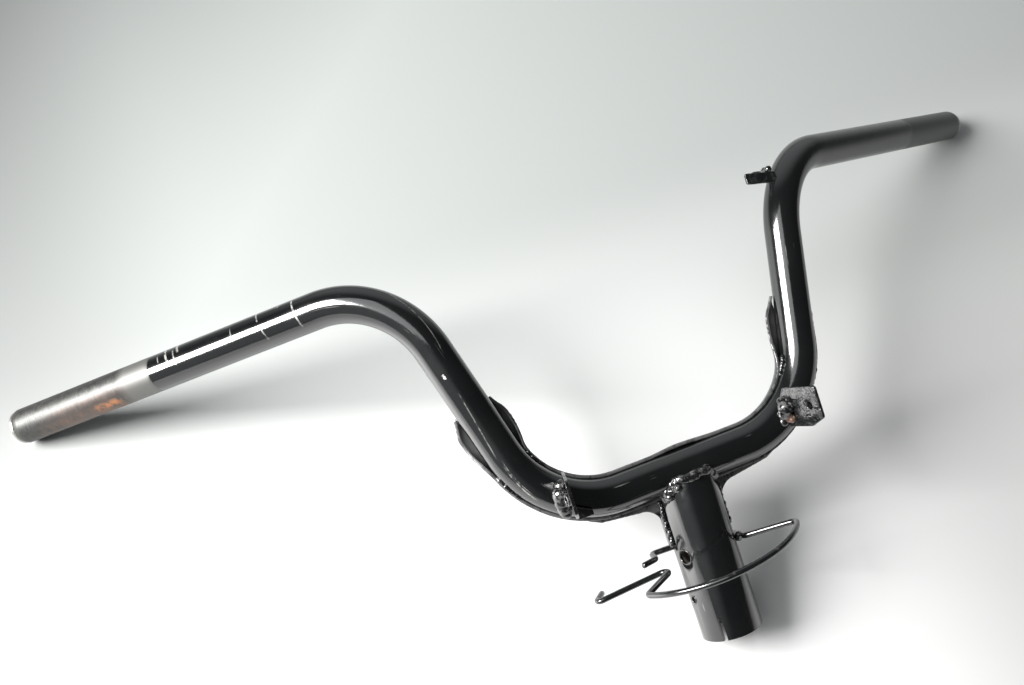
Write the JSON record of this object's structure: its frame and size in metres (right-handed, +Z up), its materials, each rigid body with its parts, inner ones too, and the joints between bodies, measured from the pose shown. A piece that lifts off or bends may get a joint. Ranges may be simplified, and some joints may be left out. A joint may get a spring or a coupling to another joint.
{
  "type": "scooter handlebar",
  "caption": "Bare welded scooter handlebar: a bent tube with raised arms on a clamp stem, with a pressed gusset, cover brackets, a harness tab and a wire cable guide.",
  "frame": {"origin": "centre of the bounding box on the table, with the bar lying on its grip ends and the rear rim of its stem", "axes": "+X along the bar to the rider's right-hand grip, +Y from the stem's open end towards the grips, +Z up from the table"},
  "size_m": [0.7254, 0.3048, 0.1287],
  "materials": {
    "bar_paint": "gloss black paint, worn to bare steel at the left grip end",
    "stem_paint": "gloss black paint",
    "gusset_paint": "gloss black paint with bright worn edges",
    "bracket_paint": "gloss black paint",
    "weld_paint": "black paint over a rippled weld",
    "wire_paint": "gloss black paint on bent wire",
    "insert_steel": "turned steel, dull"
  },
  "bodies": {
    "root": {"handlebar_tube": "bar_paint", "stem_tube": "stem_paint", "rear_gusset": "gusset_paint", "stem_saddle_weld": "weld_paint", "end_insert_left": "insert_steel", "cover_bracket_left": "bracket_paint", "bracket_weld_left": "weld_paint", "gusset_tail_weld_left": "weld_paint", "gusset_upper_weld_left": "weld_paint", "gusset_lower_weld_left": "weld_paint", "end_insert_right": "insert_steel", "cover_bracket_right": "bracket_paint", "bracket_weld_right": "weld_paint", "gusset_tail_weld_right": "weld_paint", "gusset_upper_weld_right": "weld_paint", "gusset_lower_weld_right": "weld_paint", "harness_tab": "bracket_paint", "harness_tab_weld": "weld_paint", "cable_guide": "wire_paint", "guide_weld_left": "weld_paint", "guide_weld_right": "weld_paint"}
  },
  "joints": []
}
